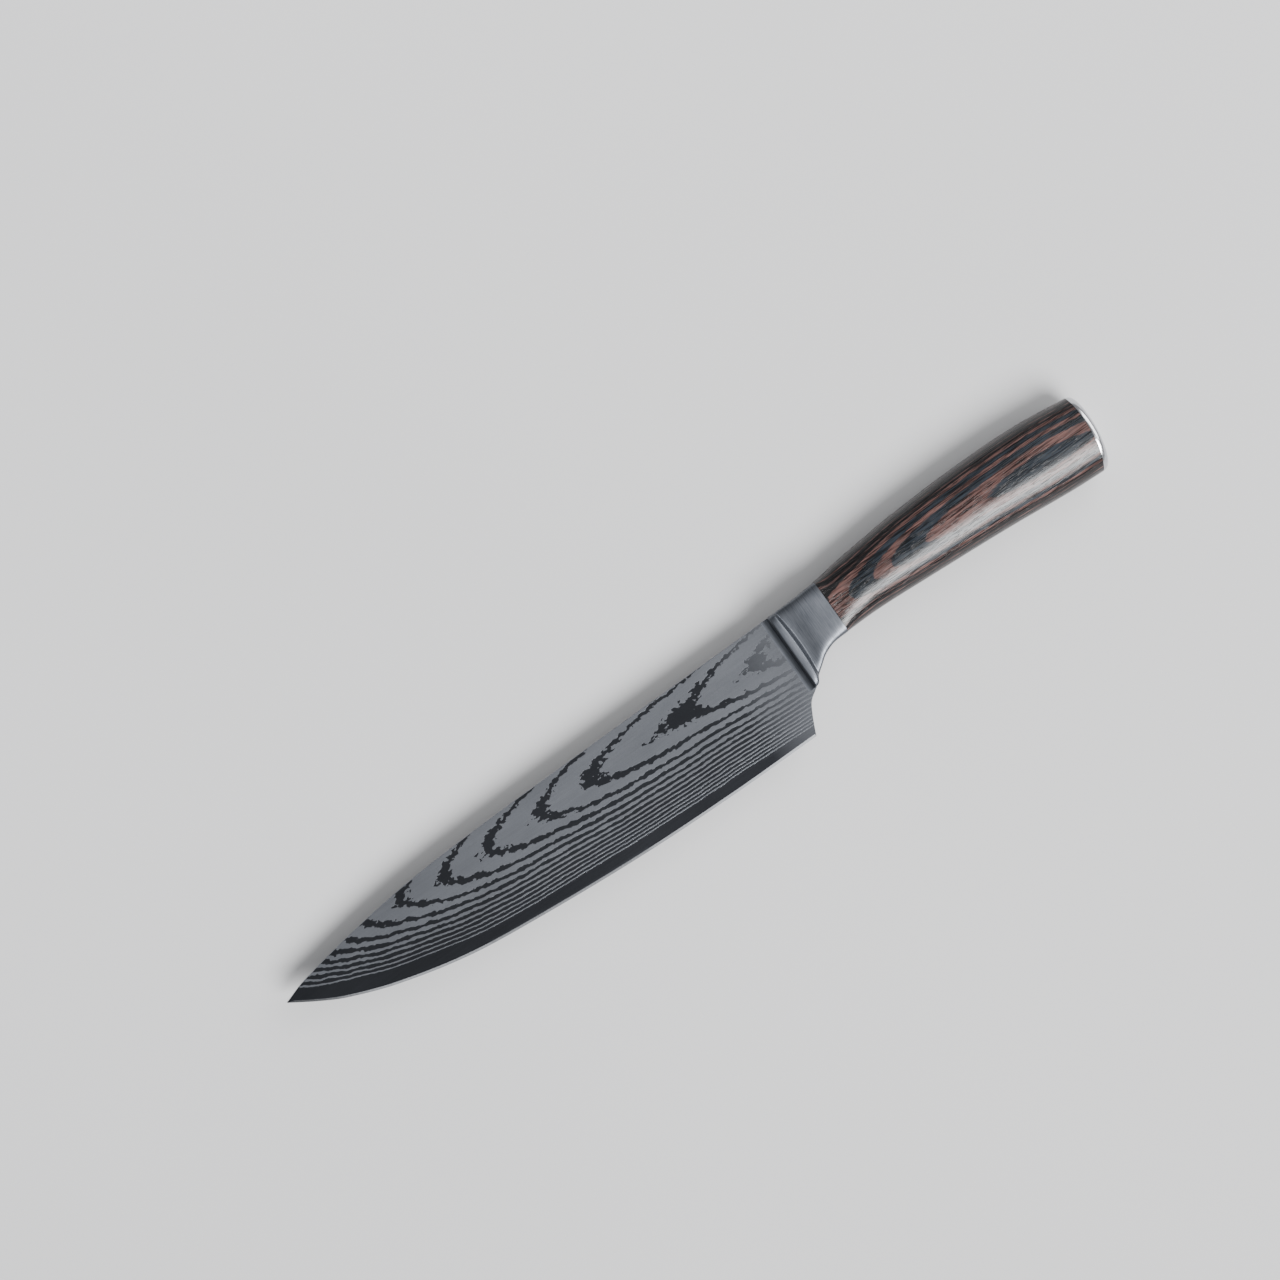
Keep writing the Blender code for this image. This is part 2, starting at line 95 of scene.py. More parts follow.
# Bolster
BOLSTER_FRONT_X = 207.1 * MM
BOLSTER_REAR_X = 226.95 * MM
FILLET_RADIUS = 1.7 * MM
FILLET_STRETCH = 1.7  # the hollow runs this much further along the blade than it is high
RIDGE_BOW = 1.2 * MM
RIDGE_CREST_X = 208.9 * MM
RIDGE_FOOT_X = 211.6 * MM
BOW_END_X = 219.0 * MM
FILLET_STEPS = 8
FILLET_ROOM = 0.95  # it takes at most this share of the ridge's height above the blade
FILLET_SINK = 0.02 * MM  # its front edge lies this far inside the blade's flat
BOLSTER_SIDES = 160
RIDGE_END_X = 212.4 * MM
RIDGE_STATIONS = 40
SLEEVE_STATIONS = 44

# Handle
SEAM = 0.04 * MM
HANDLE_FRONT_X = BOLSTER_REAR_X + SEAM
BUTT_CREST_X = 332.3 * MM
BUTT_CREST_Y = 9.0 * MM
BUTT_ARC_RADIUS = 71.4 * MM
CAP_THICKNESS = 2.3 * MM
CAP_EDGE_RADIUS = 2.0 * MM
CREST_DROP = 1.3 * MM  # the handle is thickest this far below its middle height
CHANNEL_Y = 2.0 * MM
CHANNEL_HALF_HEIGHT = 6.1 * MM
CHANNEL_DEPTH = 2.6 * MM
HANDLE_SIDES = 160
HANDLE_STATIONS = 110
ARCH_PASSES = 6  # a curved section is found by repeated trial
CAP_WALL_STEPS = 4
CAP_EDGE_STEPS = 8
CAP_FACE_SCALES = [0.04, 0.2, 0.4, 0.6, 0.8, 0.93]  # rings that close the cap's two faces


def smooth_curve(points_mm):
    """A function y(x) through points given in millimetres, with continuous slope."""
    xs = [x * MM for x, _ in points_mm]
    ys = [y * MM for _, y in points_mm]
    last = len(xs) - 1

    def slope(i):
        a, b = max(i - 1, 0), min(i + 1, last)
        return (ys[b] - ys[a]) / (xs[b] - xs[a])

    def value(x):
        i = next((k for k in range(last) if x <= xs[k + 1]), last - 1)
        run = xs[i + 1] - xs[i]
        t = (x - xs[i]) / run
        from_point = (2 * t**3 - 3 * t**2 + 1) * ys[i] + (3 * t**2 - 2 * t**3) * ys[i + 1]
        from_slope = (t**3 - 2 * t**2 + t) * slope(i) + (t**3 - t**2) * slope(i + 1)
        return from_point + from_slope * run

    return value


def broken_line(points):
    """A function that joins points with straight runs and stays level past both ends."""

    def value(x):
        if x <= points[0][0]:
            return points[0][1]
        for (x0, y0), (x1, y1) in zip(points, points[1:]):
            if x <= x1:
                return y0 + (y1 - y0) * (x - x0) / (x1 - x0)
        return points[-1][1]

    return value


# Outlines seen from the side of the knife: (x, y) in millimetres, as in the CAD model
blade_spine = smooth_curve(
    [(0, 0.1), (8.5, 2.7), (33.8, 7.0), (59, 9.7), (88, 10.9), (135, 11.4), (207, 11.85)]
)
blade_edge = smooth_curve(
    [(0, -0.25), (8.5, -5.6), (17, -10.2), (34, -16.6), (59, -22.7), (85, -25.9), (125, -29.0)]
    + [(165, -30.3), (198, -30.3)]
)
choil = smooth_curve([(197.9, -30.3), (199.3, -27.2), (200.9, -23.9), (203.3, -19.9), (206.8, -17.3)])
bolster_top = smooth_curve([(207, 11.85), (217, 12.1), (226.8, 12.65)])
bolster_bottom = smooth_curve(
    [(207, -16.6), (208.8, -16.0), (213.6, -12.1), (217, -9.3), (221, -7.8), (226.8, -7.5)]
)
bolster_half_thickness = smooth_curve(
    [(207.1, 5.4), (207.4, 6.5), (208.0, 6.85), (209.6, 6.95), (210.3, 6.7), (211.1, 5.5), (211.7, 4.92)]
    + [(212.0, 4.9), (213.5, 5.15), (217, 5.95), (220, 6.4), (223.5, 6.75), (226.8, 6.95)]
)
handle_top = smooth_curve(
    [(226.8, 12.8), (231, 13.3), (237, 14.15), (248, 15.2), (262, 16.3), (288, 17.1)]
    + [(313, 16.5), (335, 13.9)]
)
handle_bottom = smooth_curve(
    [(226.8, -7.5), (240, -7.4), (260, -8.5), (292, -10.6), (318, -12.9), (335, -13.7)]
)
handle_half_thickness = smooth_curve(
    [(226.8, 6.95), (242, 8.3), (262, 9.5), (288, 10.2), (312, 10.5), (335, 10.2)]
)

# How square a section is, as a superellipse's exponent: 2 is an ellipse
bolster_exponent = broken_line([(207 * MM, 9.0), (213 * MM, 9.0), (222 * MM, 8.5), (226.8 * MM, 6.5)])
handle_exponent = broken_line([(227 * MM, 4.0), (229.5 * MM, 2.9), (232 * MM, 2.45), (240 * MM, 2.0)])


# ---------------------------------------------------------------- meshes


def place(x, y, z):
    """A point of the knife's own frame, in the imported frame."""
    return KNIFE_ORIGIN + Vector((x, y, z))


def spaced(start, end, count, power=1.0):
    """Stations from start to end, count steps in all."""
    return [start + (end - start) * (i / count) ** power for i in range(count + 1)]


def loft(rings):
    """A closed skin over rings that all have the same number of points."""
    bm = bmesh.new()
    rows = [[bm.verts.new(place(*point)) for point in ring] for ring in rings]
    for row, following in zip(rows, rows[1:]):
        for i in range(len(row)):
            j = (i + 1) % len(row)
            bm.faces.new((row[i], row[j], following[j], following[i]))
    bm.faces.new(rows[0])
    bm.faces.new(rows[-1])
    return bm


def add_piece(name, bm, materials, node, crease_degrees=30):
    """A finished piece that stands for a CAD node and rides with it."""
    bmesh.ops.recalc_face_normals(bm, faces=bm.faces)
    mesh = bpy.data.meshes.new(name)
    bm.to_mesh(mesh)
    bm.free()
    for material in materials:
        mesh.materials.append(material)
    mesh.shade_smooth()
    mesh.set_sharp_from_angle(angle=math.radians(crease_degrees))
    piece = bpy.data.objects.new(name, mesh)
    bpy.context.scene.collection.objects.link(piece)
    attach(piece, "root")
    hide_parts(node)
    return piece


def grind_half_thickness(x, y):
    """The flat taper of the blade, from the spine down and from the bolster to the tip."""
    below_spine = blade_spine(SHOULDER_X) - y
    return SPINE_HALF_THICKNESS - GRIND_SLOPE_Y * below_spine - GRIND_SLOPE_X * (SHOULDER_X - x)


def blade_ring(x, low, high, bevel, foot):
    """Points round the blade: a rounded spine, a flat side, the bevel, and the same back up."""
    side = []
    for k in range(SPINE_ROUND_STEPS + 1):
        turn = math.pi / 2 * k / SPINE_ROUND_STEPS
        y = high - SPINE_ROUND * (1 - math.cos(turn))
        spine = grind_half_thickness(x, high - SPINE_ROUND)
        side.append((x, y, spine - SPINE_ROUND * (1 - math.sin(turn))))
    for y in spaced(high - SPINE_ROUND, low + bevel, BLADE_FACE_ROWS)[1:]:
        side.append((x, y, grind_half_thickness(x, y)))
    side.append((x, low, foot))
    return side + [(px, py, -pz) for px, py, pz in reversed(side)]


def blade_rings():
    """Rings from the tip to the heel, along the choil, and the end that the bolster hides."""
    for x in spaced(0, HEEL_X, BLADE_STATIONS, BLADE_CROWDING):
        low = blade_edge(x)
        high = max(blade_spine(x), low + LEAST_TIP_HEIGHT)
        bevel = min(BEVEL_WIDTH, TIP_BEVEL_SHARE * (high - low))
        yield blade_ring(x, low, high, bevel, EDGE_HALF_THICKNESS)
    for x in spaced(HEEL_X + CHOIL_EDGE, SHOULDER_X, CHOIL_STATIONS):
        low = choil(x)
        yield blade_ring(x, low, blade_spine(x), CHOIL_EDGE, grind_half_thickness(x, low) - CHOIL_EDGE)
    low = bolster_bottom(BOLSTER_FRONT_X) + STUB_LIFT
    yield blade_ring(BLADE_HIDDEN_X, low, blade_spine(SHOULDER_X), CHOIL_EDGE, STUB_HALF_THICKNESS)


# Where the etched layers surface: how many lie above a spot on the line of noses, and that line's height
layer_count = broken_line(
    [(0, 0.3), (4.6, 1.35), (6.6, 2.45), (9.8, 3.0), (12.7, 3.6), (17.4, 4.1), (21.8, 4.76), (28.3, 5.25)]
    + [(36.7, 6.0), (51.2, 7.0), (68.3, 8.0), (85.2, 9.0), (107.2, 10.0), (126.4, 11.0), (156, 11.9)]
    + [(170, 12.1), (194.7, 13.0), (207, 13.4)]
)
nose_line = smooth_curve(
    [(0, 16), (21, 11.8), (34.5, 8.4), (51.4, 5.7), (65, 3.6), (85, 2.4), (107, 2.2), (136, 1.7)]
    + [(207, 1.3)]
)
LAYERS_BELOW = 0.0175  # layers met per square millimetre of drop below the line of noses
LAYERS_ABOVE = 0.0123
CORE_LAYER = -1.3  # the dark core steel shows below this layer
SLOPE_STEP = 0.5 * MM
DEPTH_START = 4 * MM  # below the line of noses
DEPTH_SPAN = 16 * MM
RAGGED_LOSS = 0.75
NOSE_REACH = 2.4 * MM
NOSE_PLATEAU = 1.4  # above 1, so that a band along the line keeps the full value


def layer_at(x, y):
    """Which layer surfaces at a spot of the blade's face; whole numbers are the dark lines' middles."""
    drop = (y - nose_line(x)) / MM
    steepness = LAYERS_BELOW if drop < 0 else LAYERS_ABOVE
    return layer_count(x / MM) - steepness * drop**2


def layer_slope(x, y):
    """Layers met per millimetre of the blade's face."""
    along = layer_at(x + SLOPE_STEP, y) - layer_at(x - SLOPE_STEP, y)
    across = layer_at(x, y + SLOPE_STEP) - layer_at(x, y - SLOPE_STEP)
    return math.hypot(along, across)


# Half the share of a layer that shows dark, at the noses and at the core, by millimetres from the tip
upper_width = broken_line([(0, 0.24), (22, 0.24), (36, 0.18), (52, 0.14)])
lower_width = broken_line([(0, 0.38), (60, 0.375), (100, 0.34), (200, 0.31)])


def depth_share(x, y):
    """From 0 near the line of noses to 1 near the core steel."""
    return min(max((nose_line(x) - y - DEPTH_START) / DEPTH_SPAN, 0), 1)


def line_half_width(x, y):
    """Half the share of each layer that shows dark, which grows from the noses down to the core."""
    depth = depth_share(x, y)
    return (1 - depth) * upper_width(x / MM) + depth * lower_width(x / MM)


def raggedness(x, y):
    """How much a line wanders: freely near the noses, little near the core."""
    return 1 - RAGGED_LOSS * depth_share(x, y)


def nose_nearness(x, y):
    """1 along the line of noses, falling to 0 a few millimetres above and below it."""
    return min(max(NOSE_PLATEAU - abs(y - nose_line(x)) / NOSE_REACH, 0), 1)


# Painted reflection: the etched lines are painted fainter over the last millimetres before the bolster
painted_glare_fade = broken_line([(182, 1.0), (192, 0.82), (200, 0.68), (206, 0.5)])


def etch_under_painted_glare(x, y):
    """The pattern is painted fainter towards the bolster: a painted reflection that washes out the etched
    lines there.
    """
    return painted_glare_fade(x / MM)


def build_blade(materials):
    """The blade's skin, with the fields that draw the damascus pattern kept at its vertices."""
    bm = loft(blade_rings())
    fields = {
        "layer": layer_at,
        "layer_slope": layer_slope,
        "line_half_width": line_half_width,
        "raggedness": raggedness,
        "nose_nearness": nose_nearness,
        "etch_under_painted_glare": etch_under_painted_glare,
    }
    for name, field in fields.items():
        store = bm.verts.layers.float.new(name)
        for vert in bm.verts:
            x, y, _ = vert.co - KNIFE_ORIGIN
            vert[store] = field(x, y)
    steel_row = {"face": 0, "bevel": 1, "plain": 2}
    for face in bm.faces:
        x, y, _ = face.calc_center_median() - KNIFE_ORIGIN
        if x > HEEL_X:
            on_bevel = False
            on_foot = y < choil(x) + CHOIL_EDGE
        else:
            bevel = min(BEVEL_WIDTH, TIP_BEVEL_SHARE * (blade_spine(x) - blade_edge(x)))
            on_bevel = y < blade_edge(x) + BEVEL_STEEL_SHARE * bevel
            on_foot = False
        on_spine = y > blade_spine(x) - SPINE_ROUND
        row = "bevel" if on_bevel else "plain" if on_foot or on_spine else "face"
        face.material_index = steel_row[row]
    return add_piece("blade_skin", bm, materials, "blade", crease_degrees=6)


def superellipse(angle, exponent):
    """A point (along y, along z) of the unit superellipse, where a ray at that angle meets it."""
    across, up = math.cos(angle), math.sin(angle)
    reach = (abs(across) ** exponent + abs(up) ** exponent) ** (-1 / exponent)
    return across * reach, up * reach


def full_turn(sides):
    return [2 * math.pi * i / sides for i in range(sides)]


def bolster_point(station, angle):
    """A point of the bolster's skin, whose ridge and groove are bowed towards the butt at mid height."""
    rising = min(max((station - RIDGE_CREST_X) / (RIDGE_FOOT_X - RIDGE_CREST_X), 0), 1)
    falling = min(max((BOW_END_X - station) / (BOW_END_X - RIDGE_FOOT_X), 0), 1)
    bow = RIDGE_BOW * min(rising, falling)
    top, bottom = bolster_top(station), bolster_bottom(station)
    along_y, along_z = superellipse(angle, bolster_exponent(station))
    y = (top + bottom) / 2 + along_y * (top - bottom) / 2
    return station - bow * along_y**2, y, along_z * bolster_half_thickness(station)


def fillet_rings():
    """The hollow that joins the blade's flats to the bolster's front wall."""
    for k in range(FILLET_STEPS + 1):
        turn = math.pi / 2 * k / FILLET_STEPS
        ring = []
        for angle in full_turn(BOLSTER_SIDES):
            x, y, z = bolster_point(BOLSTER_FRONT_X, angle)
            side = math.copysign(1, math.sin(angle))
            foot = min(grind_half_thickness(SHOULDER_X, y), abs(z))
            room = min(FILLET_RADIUS, FILLET_ROOM * (abs(z) - foot))
            foot_x = x - FILLET_STRETCH * room * (1 - math.sin(turn))
            ring.append((foot_x, y, side * (foot - FILLET_SINK + room * (1 - math.cos(turn)))))
        yield ring


def build_bolster(material):
    """The bolster from its ridge, over the groove and the flare, to the sleeve that meets the wood."""
    rings = list(fillet_rings())
    stations = spaced(BOLSTER_FRONT_X, RIDGE_END_X, RIDGE_STATIONS)
    stations += spaced(RIDGE_END_X, BOLSTER_REAR_X, SLEEVE_STATIONS)[1:]
    for x in stations:
        rings.append([bolster_point(x, angle) for angle in full_turn(BOLSTER_SIDES)])
    return add_piece(
        "bolster_skin", loft(rings), [material], "bolster", crease_degrees=50
    )


def handle_point(x_of, angle, shrink=0.0, scale=1.0):
    """A point of the handle's skin, where x_of gives x for a height and so sets a curved section."""
    x = x_of(0)
    for _ in range(ARCH_PASSES):
        along_y, along_z = superellipse(angle, handle_exponent(x))
        top, bottom = handle_top(x), handle_bottom(x)
        crest = (top + bottom) / 2 - CREST_DROP
        reach = (top if along_y > 0 else bottom) - crest
        y = crest + scale * along_y * (abs(reach) - shrink)
        x = x_of(y)
    return x, y, scale * along_z * (handle_half_thickness(x) - shrink)


def butt_arc(offset):
    """x on the arched butt for a height, offset outwards from the wood's rear face."""

    def x_of(y):
        radius = BUTT_ARC_RADIUS + offset
        return BUTT_CREST_X - BUTT_ARC_RADIUS + math.sqrt(radius**2 - (y - BUTT_CREST_Y) ** 2)

    return x_of


def build_scale(side_name, side, material):
    """One half of the handle, with the channel for the tang keel down its flat side."""
    butt = butt_arc(-SEAM)
    half = HANDLE_SIDES // 2
    rings = []
    for share in spaced(0, 1, HANDLE_STATIONS):

        def station(y, share=share):
            return HANDLE_FRONT_X + share * (butt(y) - HANDLE_FRONT_X)

        arc = [handle_point(station, math.pi * i / half) for i in range(half + 1)]
        channel = [
            (CHANNEL_Y - CHANNEL_HALF_HEIGHT, SEAM / 2),
            (CHANNEL_Y - CHANNEL_HALF_HEIGHT, CHANNEL_DEPTH),
            (CHANNEL_Y + CHANNEL_HALF_HEIGHT, CHANNEL_DEPTH),
            (CHANNEL_Y + CHANNEL_HALF_HEIGHT, SEAM / 2),
        ]
        ring = [(x, y, side * max(z, SEAM / 2)) for x, y, z in arc]
        ring += [(station(y), y, side * z) for y, z in channel]
        rings.append(ring)
    name, node = f"{side_name}_wood_scale", f"handle_scale_{side_name}"
    return add_piece(name, loft(rings), [material], node, crease_degrees=40)


def build_cap(material):
    """An arched plate over the butt: its inner face, a short wall, a rounded edge, its outer face."""
    inner, outer = butt_arc(SEAM), butt_arc(CAP_THICKNESS)

    def ring(x_of, shrink=0.0, scale=1.0):
        return [handle_point(x_of, angle, shrink, scale) for angle in full_turn(HANDLE_SIDES)]

    rings = [ring(inner, scale=scale) for scale in CAP_FACE_SCALES]
    for offset in spaced(SEAM, CAP_THICKNESS - CAP_EDGE_RADIUS, CAP_WALL_STEPS)[:-1]:
        rings.append(ring(butt_arc(offset)))
    for k in range(CAP_EDGE_STEPS + 1):
        turn = math.pi / 2 * k / CAP_EDGE_STEPS
        x_of = butt_arc(CAP_THICKNESS - CAP_EDGE_RADIUS * (1 - math.sin(turn)))
        rings.append(ring(x_of, shrink=CAP_EDGE_RADIUS * (1 - math.cos(turn))))
    rings += [ring(outer, CAP_EDGE_RADIUS, scale) for scale in reversed(CAP_FACE_SCALES)]
    return add_piece(
        "polished_end_cap", loft(rings), [material], "end_cap", crease_degrees=40
    )


# ---------------------------------------------------------------- materials


class Paint:
    """One node material. Each method adds a node and gives back its output."""

    def __init__(self, name, roughness, metallic=0.0, specular=0.5):
        self.material = bpy.data.materials.new(name)
        self.material.use_nodes = True
        self.tree = self.material.node_tree
        self.shader = self.tree.nodes["Principled BSDF"]
        self.shader.inputs["Roughness"].default_value = roughness
        self.shader.inputs["Metallic"].default_value = metallic
        self.shader.inputs["Specular IOR Level"].default_value = specular
        self.place = self.node("ShaderNodeTexCoord").outputs["Object"]

    def node(self, kind, **settings):
        made = self.tree.nodes.new(kind)
        for name, value in settings.items():
            setattr(made, name, value)
        return made

    def feed(self, socket, value):
        if isinstance(value, bpy.types.NodeSocket):
            self.tree.links.new(value, socket)
        else:
            socket.default_value = value

    def to_shader(self, name, value):
        self.feed(self.shader.inputs[name], value)

    def math(self, operation, a, b=0.0, c=0.0):
        made = self.node("ShaderNodeMath", operation=operation)
        for socket, value in zip(made.inputs, (a, b, c)):
            self.feed(socket, value)
        return made.outputs[0]

    def axes(self):
        made = self.node("ShaderNodeSeparateXYZ")
        self.feed(made.inputs[0], self.place)
        return list(made.outputs)

    def attribute(self, name):
        return self.node("ShaderNodeAttribute", attribute_name=name).outputs["Fac"]

    def noise(self, grain, detail=2.0, roughness=0.5, shift=0.0):
        """Noise whose lumps are about grain = (x, y, z) metres long."""
        stretch = self.node("ShaderNodeMapping")
        self.feed(stretch.inputs["Vector"], self.place)
        stretch.inputs["Location"].default_value = (shift, shift, shift)
        stretch.inputs["Scale"].default_value = [1 / length for length in grain]
        made = self.node("ShaderNodeTexNoise")
        self.feed(made.inputs["Vector"], stretch.outputs[0])
        made.inputs["Scale"].default_value = 1.0
        made.inputs["Detail"].default_value = detail
        made.inputs["Roughness"].default_value = roughness
        return made.outputs[0]

    def remap(self, value, low, high, to_low=0.0, to_high=1.0, smooth=False):
        kind = "SMOOTHSTEP" if smooth else "LINEAR"
        made = self.node("ShaderNodeMapRange", interpolation_type=kind)
        for name, number in (("Value", value), ("From Min", low), ("From Max", high)):
            self.feed(made.inputs[name], number)
        self.feed(made.inputs["To Min"], to_low)
        self.feed(made.inputs["To Max"], to_high)
        return made.outputs[0]

    def ramp(self, value, stops, steps=False):
        made = self.node("ShaderNodeValToRGB")
        made.color_ramp.interpolation = "CONSTANT" if steps else "LINEAR"
        elements = made.color_ramp.elements
        while len(elements) < len(stops):
            elements.new(1.0)
        for element, (position, colour) in zip(elements, stops):
            element.position = position
            element.color = (*colour, 1)
        self.feed(made.inputs[0], value)
        return made.outputs[0]

    def mix(self, share, a, b, blend="MIX"):
        made = self.node("ShaderNodeMix", data_type="RGBA", blend_type=blend)
        self.feed(made.inputs["Factor"], share)
        for name, value in (("A", a), ("B", b)):
            socket = next(s for s in made.inputs if s.name == name and s.type == "RGBA")
            self.feed(socket, value if isinstance(value, bpy.types.NodeSocket) else (*value, 1))
        return next(s for s in made.outputs if s.type == "RGBA")

    def grey(self, value):
        """A colour whose three channels are one value."""
        made = self.node("ShaderNodeCombineColor")
        for socket in made.inputs:
            self.feed(socket, value)
        return made.outputs[0]

    def bump(self, height, depth):
        made = self.node("ShaderNodeBump")
        made.inputs["Strength"].default_value = 1.0
        made.inputs["Distance"].default_value = depth
        self.feed(made.inputs["Height"], height)
        self.to_shader("Normal", made.outputs[0])


def damascus_steel():
    """Etched layers: dark where a layer surfaces, wavering, ragged at the noses; dark core steel below."""
    paint = Paint("etched_damascus", roughness=0.25, metallic=1.0)
    layer = paint.attribute("layer")
    slope = paint.attribute("layer_slope")
    amount = paint.attribute("raggedness")
    waver = paint.math("SUBTRACT", paint.noise((5 * MM, 2.2 * MM, 4 * MM), detail=0), 0.5)
    ragged = paint.math("SUBTRACT", paint.noise((1.7 * MM, 1.0 * MM, 2 * MM), detail=1.2), 0.5)
    wander = paint.math("MULTIPLY_ADD", waver, 1.1, paint.math("MULTIPLY", ragged, 1.1))
    jag = paint.math("MULTIPLY", ragged, 0.36)
    moved = paint.math("MULTIPLY_ADD", slope, wander, jag)
    moved = paint.math("MULTIPLY_ADD", moved, amount, layer)
    phase = paint.math("FRACT", paint.math("ADD", moved, 0.5))
    off_line = paint.math("ABSOLUTE", paint.math("SUBTRACT", phase, 0.5))
    inside = paint.math("SUBTRACT", paint.attribute("line_half_width"), off_line)
    line = paint.remap(inside, -0.012, 0.012, smooth=True)
    core = paint.remap(moved, CORE_LAYER - 0.03, CORE_LAYER + 0.03, 1.0, 0.0)
    dark = paint.math("MAXIMUM", line, core)
    # Loose flecks of dark steel ahead of each nose
    ahead = paint.math("SUBTRACT", 0.5, phase)
    crumbs = paint.noise((2.4 * MM, 1.6 * MM, 2 * MM), detail=1, shift=9.0)
    crumbs = paint.math("MULTIPLY", crumbs, paint.attribute("nose_nearness"))
    crumbs = paint.math("MULTIPLY", crumbs, paint.remap(ahead, 0.13, 0.18))
    crumbs = paint.math("MULTIPLY", crumbs, paint.remap(ahead, 0.30, 0.38, 1.0, 0.0))
    dark = paint.math("MAXIMUM", dark, paint.remap(crumbs, 0.505, 0.53, smooth=True))
    cloud = paint.noise((28 * MM, 12 * MM, 9 * MM), detail=3)
    brushing = paint.noise((14 * MM, 0.12 * MM, 0.5 * MM), detail=2)
    speckle = paint.noise((0.35 * MM, 0.35 * MM, 0.35 * MM), detail=1)
    shade = paint.math("MULTIPLY_ADD", cloud, 0.45, 0.40)
    shade = paint.math("MULTIPLY_ADD", brushing, 0.45, shade)
    shade = paint.math("MULTIPLY_ADD", speckle, 0.30, shade)
    bare = paint.mix(1.0, (0.200, 0.210, 0.232), paint.grey(shade), blend="MULTIPLY")
    etched = paint.mix(1.0, (0.0162, 0.0172, 0.0198), paint.grey(shade), blend="MULTIPLY")
    # The dark lines are weakened near the bolster by a painted reflection, not by any change in the steel
    strength = paint.math("MULTIPLY", dark, paint.attribute("etch_under_painted_glare"))
    paint.to_shader("Base Color", paint.mix(strength, bare, etched))
    paint.to_shader("Roughness", paint.remap(strength, 0, 1, 0.25, 0.36))
    height = paint.math("MULTIPLY_ADD", brushing, 0.25, paint.math("SUBTRACT", 1.0, strength))
    paint.bump(height, 0.004 * MM)
    return paint.material


def ground_steel():
    """The narrow sharpening bevel, scratched across by the stone."""
    paint = Paint("ground_bevel", roughness=0.42, metallic=1.0)
    scratches = paint.noise((0.12 * MM, 2.5 * MM, 2.5 * MM), detail=3)
    grey = paint.ramp(scratches, [(0.3, (0.060, 0.062, 0.066)), (0.7, (0.105, 0.108, 0.114))])
    paint.to_shader("Base Color", grey)
    paint.to_shader("Roughness", paint.remap(scratches, 0.3, 0.7, 0.38, 0.5))
    paint.bump(scratches, 0.01 * MM)
    return paint.material


def brushed_steel(name, bright, dull, grain, roughness):
    """Satin steel: brush marks as long and narrow as grain, over faint clouds."""
    paint = Paint(name, roughness=roughness, metallic=1.0)
    marks = paint.noise(grain, detail=3, roughness=0.6)
    fine = paint.noise([length / 3 for length in grain], detail=2, shift=7.0)
    cloud = paint.noise((6 * MM, 6 * MM, 6 * MM), detail=2)
    tone = paint.math("MULTIPLY_ADD", fine, 0.5, paint.math("MULTIPLY", marks, 0.5))
    tone = paint.math("MULTIPLY_ADD", paint.math("SUBTRACT", cloud, 0.5), 0.35, tone)
    paint.to_shader("Base Color", paint.ramp(tone, [(0.3, dull), (0.7, bright)]))
    paint.to_shader("Roughness", paint.remap(tone, 0.3, 0.7, roughness + 0.06, roughness - 0.05))
    paint.bump(marks, 0.004 * MM)
    return paint.material


DARK_VENEER = (0.0070, 0.0094, 0.0128)
BLACK_VENEER = (0.0030, 0.0028, 0.0031)
BROWN_VENEER = (0.050, 0.0255, 0.0225)
UMBER_VENEER = (0.030, 0.0162, 0.0148)

# Veneers of the laminated wood: (distance from the mid-plane in millimetres where one begins, colour)
VENEERS = [
    (0.0, UMBER_VENEER),
    (0.3, BLACK_VENEER),
    (0.9, UMBER_VENEER),
    (1.25, BLACK_VENEER),
    (1.9, BROWN_VENEER),
    (2.25, BLACK_VENEER),
    (3.35, UMBER_VENEER),
    (3.65, BLACK_VENEER),
    (4.85, BROWN_VENEER),
    (5.2, BLACK_VENEER),
    (6.15, UMBER_VENEER),
    (6.45, BLACK_VENEER),
    (6.95, BROWN_VENEER),
    (7.6, DARK_VENEER),
    (8.4, BROWN_VENEER),
    (8.95, DARK_VENEER),
    (9.57, BROWN_VENEER),
    (10.19, DARK_VENEER),
]
VENEER_SPAN = 12.0  # millimetres that the whole stack of veneers is drawn over


def laminated_wood():
    """Dyed veneers glued parallel to the mid-plane, so that the rounded handle cuts them into contours."""
    paint = Paint("laminated_wood_grain", roughness=0.27, specular=0.4)
    _, _, z = paint.axes()
    depth = paint.math("ABSOLUTE", paint.math("SUBTRACT", z, KNIFE_ORIGIN.z))
    swell = paint.math("SUBTRACT", paint.noise((26 * MM, 9 * MM, 30 * MM), detail=1), 0.5)
    frayed = paint.math("SUBTRACT", paint.noise((2.6 * MM, 0.4 * MM, 3 * MM), detail=2), 0.5)
    depth = paint.math("MULTIPLY_ADD", swell, 0.16 * MM, depth)
    depth = paint.math("MULTIPLY_ADD", frayed, 0.16 * MM, depth)
    share = paint.math("DIVIDE", depth, VENEER_SPAN * MM)
    veneer = paint.ramp(share, [(d / VENEER_SPAN, colour) for d, colour in VENEERS], steps=True)
    fibre = paint.noise((12 * MM, 0.4 * MM, 0.9 * MM), detail=2, roughness=0.55)
    figure = paint.noise((16 * MM, 1.1 * MM, 2 * MM), detail=1, shift=5.0)
    pores = paint.noise((4 * MM, 0.24 * MM, 0.6 * MM), detail=0, shift=3.0)
    tone = paint.remap(fibre, 0.34, 0.66, 0.1, 1.9)
    tone = paint.math("MULTIPLY", tone, paint.remap(figure, 0.3, 0.7, 0.75, 1.3))
    veneer = paint.mix(1.0, veneer, paint.grey(tone), blend="MULTIPLY")
    pore = paint.remap(pores, 0.60, 0.70, 0.0, 0.85, smooth=True)
    veneer = paint.mix(pore, veneer, (0.003, 0.0022, 0.0025))
    paint.to_shader("Base Color", veneer)
    paint.to_shader("Roughness", paint.remap(fibre, 0.3, 0.7, 0.2, 0.36))
    height = paint.math("SUBTRACT", paint.math("MULTIPLY", fibre, 0.7), pore)
    paint.bump(height, 0.025 * MM)
    return paint.material


